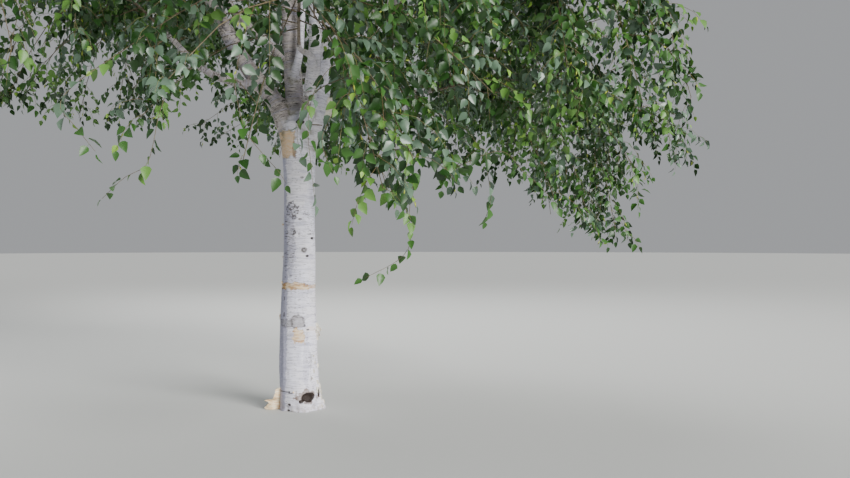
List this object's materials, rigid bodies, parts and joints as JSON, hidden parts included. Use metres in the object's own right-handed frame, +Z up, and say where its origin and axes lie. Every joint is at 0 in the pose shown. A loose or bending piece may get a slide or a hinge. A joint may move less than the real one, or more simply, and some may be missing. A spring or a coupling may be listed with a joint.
{
  "type": "himalayan birch tree",
  "caption": "Whole garden birch in summer leaf: white peeling trunk with a flared foot, a low fork into rising limbs, and an oval crown of fine twigs that hang at the rim.",
  "frame": {"origin": "centre of the flat cut under the trunk, at ground level", "axes": "+Z up; -Y towards the viewer of the picture; +X to the viewer's right"},
  "size_m": [7.1, 7.1666, 10.7369],
  "materials": {
    "bark": "white papery bark with a grey-lilac cast and fine level lenticels, satin; greyer and pinker on the limbs, red-brown on the twigs",
    "peeled_bark": "cream sheet of bark that has peeled away, matt, with an orange-tan inner side",
    "foliage": "mid to dark green pointed oval leaves with a soft gloss, paler yellow-green young ones at the tips"
  },
  "bodies": {
    "root": {"trunk": "bark", "limb_leader": "bark", "limb_left": "bark", "limb_right": "bark", "limb_back": "bark", "limb_front": "bark", "bough_skirt_1": "bark", "bough_skirt_2": "bark", "bough_skirt_3": "bark", "bough_skirt_4": "bark", "bough_skirt_5": "bark", "bough_skirt_6": "bark", "bough_skirt_7": "bark", "bough_skirt_8": "bark", "bough_lower_1": "bark", "bough_lower_2": "bark", "bough_lower_3": "bark", "bough_lower_4": "bark", "bough_lower_5": "bark", "bough_lower_6": "bark", "bough_middle_1": "bark", "bough_middle_2": "bark", "bough_middle_3": "bark", "bough_middle_4": "bark", "bough_middle_5": "bark", "bark_curl": "peeled_bark", "foliage_skirt_1": "foliage", "foliage_skirt_2": "foliage", "foliage_skirt_3": "foliage", "foliage_skirt_4": "foliage", "foliage_skirt_5": "foliage", "foliage_skirt_6": "foliage", "foliage_skirt_7": "foliage", "foliage_skirt_8": "foliage", "foliage_lower_1": "foliage", "foliage_lower_2": "foliage", "foliage_lower_3": "foliage", "foliage_lower_4": "foliage", "foliage_lower_5": "foliage", "foliage_lower_6": "foliage", "foliage_middle_1": "foliage", "foliage_middle_2": "foliage", "foliage_middle_3": "foliage", "foliage_middle_4": "foliage", "foliage_middle_5": "foliage", "foliage_upper_1": "foliage", "foliage_upper_2": "foliage", "foliage_upper_3": "foliage", "foliage_upper_4": "foliage", "foliage_top_1": "foliage"}
  },
  "joints": []
}
